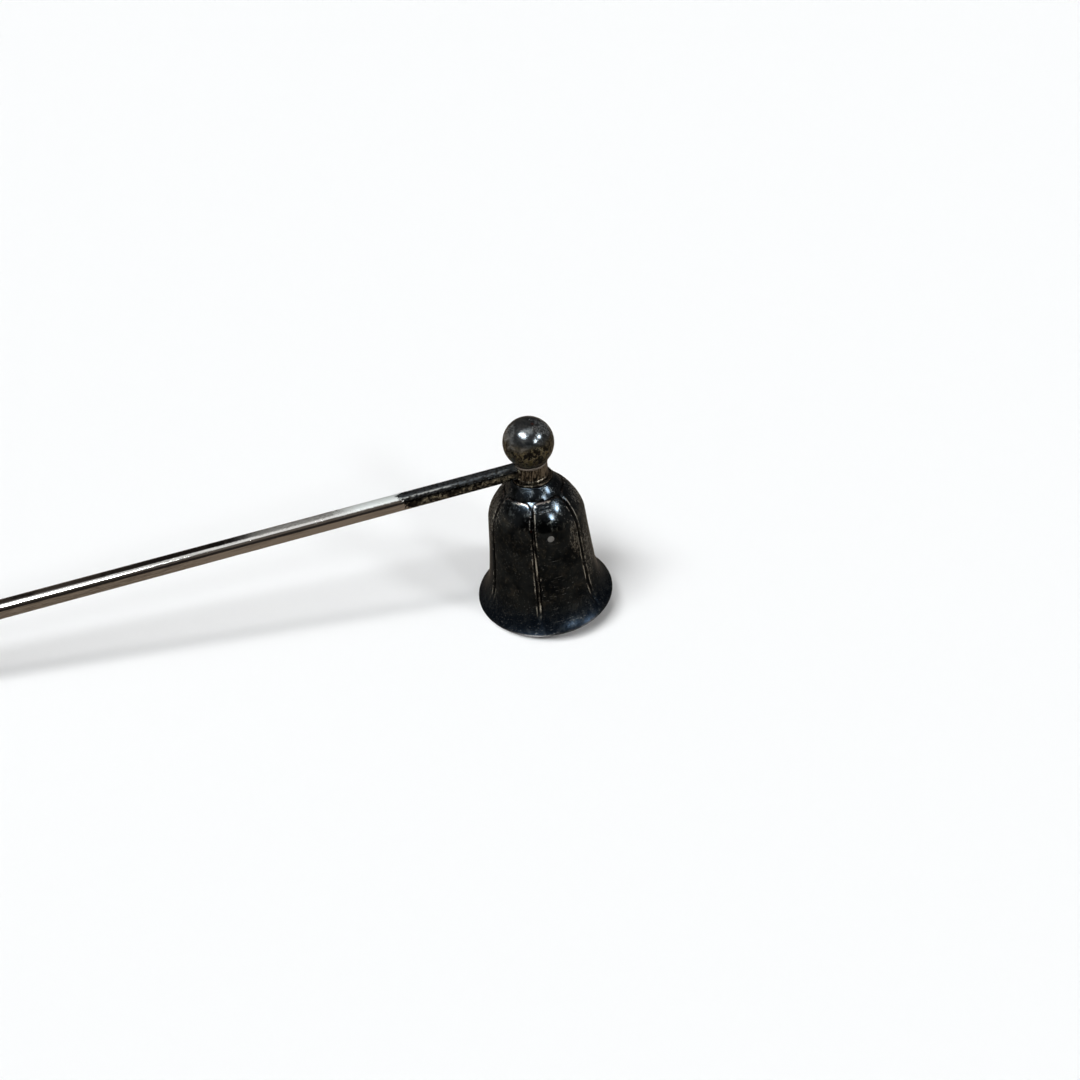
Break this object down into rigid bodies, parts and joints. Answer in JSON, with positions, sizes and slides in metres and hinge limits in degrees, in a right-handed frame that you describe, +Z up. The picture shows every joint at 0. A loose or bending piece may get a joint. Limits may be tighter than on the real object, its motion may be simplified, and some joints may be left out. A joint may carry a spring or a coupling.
{
  "type": "candle snuffer",
  "caption": "Candle snuffer: a panelled bell that swivels under a collar with a screwed ball finial, on a straight round handle with an end knob.",
  "frame": {"origin": "on the table, under the middle of the snuffer's length and width, with the snuffer lying on its rim's handle side and on its knob", "axes": "+Z up from the table, +X from the knob to the bell, +Y to the left of someone who looks from the knob to the bell"},
  "size_m": [0.2524, 0.04, 0.0614],
  "materials": {
    "tarnished_bell": "silver plate, heavily tarnished blue-black, glossy",
    "tarnished_silver": "silver plate, mottled tarnish, glossy",
    "bright_silver": "silver plate, polished",
    "worn_brass": "bare brass, dull",
    "plain_steel": "bare steel"
  },
  "bodies": {
    "handle": {"handle_rod": "bright_silver", "collar": "tarnished_silver", "shoulder_screw": "worn_brass", "seat_washer": "tarnished_silver", "spring_washer": "plain_steel", "end_ring": "bright_silver", "end_knob": "bright_silver", "knob_stud": "plain_steel"},
    "bell": {"bell_shell": "tarnished_bell", "inner_washer": "worn_brass"},
    "finial_thread": {"finial_bush": "worn_brass"},
    "finial": {"finial_ball": "tarnished_silver"}
  },
  "joints": [
    {"name": "bell_swivel", "type": "hinge", "parent": "handle", "child": "bell", "pos_m": [0.10657, 0, 0.00379], "axis": [-0.1895, 0, 0.9819], "continuous": true},
    {"name": "finial_lift", "type": "slide", "parent": "handle", "child": "finial_thread", "axis": [-0.1895, 0, 0.9819], "range_m": [0, 0.0042]},
    {"name": "finial_turn", "type": "hinge", "parent": "finial_thread", "child": "finial", "pos_m": [0.10657, 0, 0.00379], "axis": [-0.1895, 0, 0.9819], "range_deg": [0, 2160]}
  ],
  "couplings": [
    {"joint": "finial_turn", "follows": "finial_lift", "rad_per_m": 8976}
  ]
}
